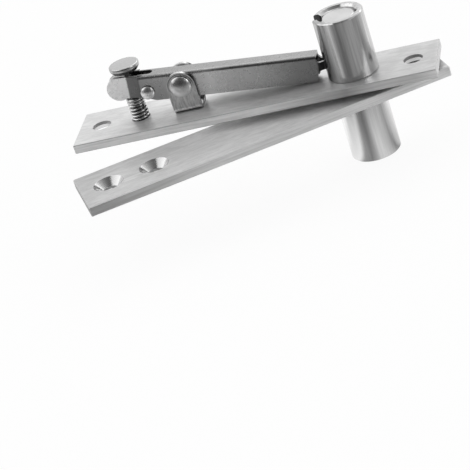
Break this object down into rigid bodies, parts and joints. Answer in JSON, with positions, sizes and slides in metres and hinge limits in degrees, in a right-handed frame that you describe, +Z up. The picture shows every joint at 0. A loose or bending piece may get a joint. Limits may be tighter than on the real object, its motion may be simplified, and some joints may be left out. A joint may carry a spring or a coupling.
{
  "type": "door pivot hinge",
  "caption": "Concealed top pivot hinge: frame plate with guide tube and lever-retracted pin, over a door plate with socket tube.",
  "frame": {"origin": "where the pivot axis meets the upper face of the frame plate", "axes": "+X along the frame plate from the adjusting screw to the guide tube and the plate's short end, +Z up along the pivot axis into the door frame, +Y across the plate"},
  "size_m": [0.133, 0.0775, 0.0533],
  "materials": {
    "frame_plate": "satin stainless, brushed lengthwise",
    "guide_tube": "turned and polished stainless",
    "pivot_pin": "fine turned stainless",
    "lever": "satin stainless sheet",
    "nose_rivet": "polished stainless",
    "fulcrum_bracket": "satin stainless sheet",
    "bracket_rivets": "stainless, flush below",
    "fulcrum_rivet": "polished stainless",
    "fulcrum_sleeve": "plain steel",
    "adjusting_screw": "polished stainless",
    "neck_collar": "turned stainless",
    "door_plate": "satin stainless, brushed lengthwise",
    "socket_tube": "turned and polished stainless",
    "socket_bush": "plain sintered bronze, hidden",
    "spacer_ring": "plain turned steel"
  },
  "bodies": {
    "frame": {"frame_plate": "frame_plate", "guide_tube": "guide_tube", "fulcrum_bracket": "fulcrum_bracket", "bracket_rivets": "bracket_rivets", "fulcrum_rivet": "fulcrum_rivet", "fulcrum_sleeve": "fulcrum_sleeve"},
    "lever_arm": {"lever": "lever", "nose_rivet": "nose_rivet"},
    "pin": {"pivot_pin": "pivot_pin"},
    "carriage": {"neck_collar": "neck_collar"},
    "screw": {"adjusting_screw": "adjusting_screw"},
    "door": {"door_plate": "door_plate", "socket_tube": "socket_tube", "socket_bush": "socket_bush", "spacer_ring": "spacer_ring"}
  },
  "joints": [
    {"name": "screw_travel", "type": "slide", "parent": "frame", "child": "carriage", "axis": [0, 0, -1], "range_m": [0, 0.00508]},
    {"name": "screw_turn", "type": "hinge", "parent": "carriage", "child": "screw", "pos_m": [-0.0775, 0, 0.01], "axis": [0, 0, -1], "range_deg": [0, 1440]},
    {"name": "lever_tilt", "type": "hinge", "parent": "frame", "child": "lever_arm", "pos_m": [-0.059, 0, 0.01015], "axis": [0, -1, 0], "range_deg": [0, 13.1]},
    {"name": "pin_lift", "type": "slide", "parent": "frame", "child": "pin", "axis": [0, 0, 1], "range_m": [0, 0.01264]},
    {"name": "door_swing", "type": "hinge", "parent": "frame", "child": "door", "pos_m": [0, 0, -0.0053], "axis": [0, 0, 1], "continuous": true}
  ],
  "couplings": [
    {"joint": "screw_turn", "follows": "pin_lift", "rad_per_m": 1988.4},
    {"joint": "screw_travel", "follows": "pin_lift", "ratio": 0.40192},
    {"joint": "lever_tilt", "follows": "pin_lift", "rad_per_m": 18.083}
  ]
}
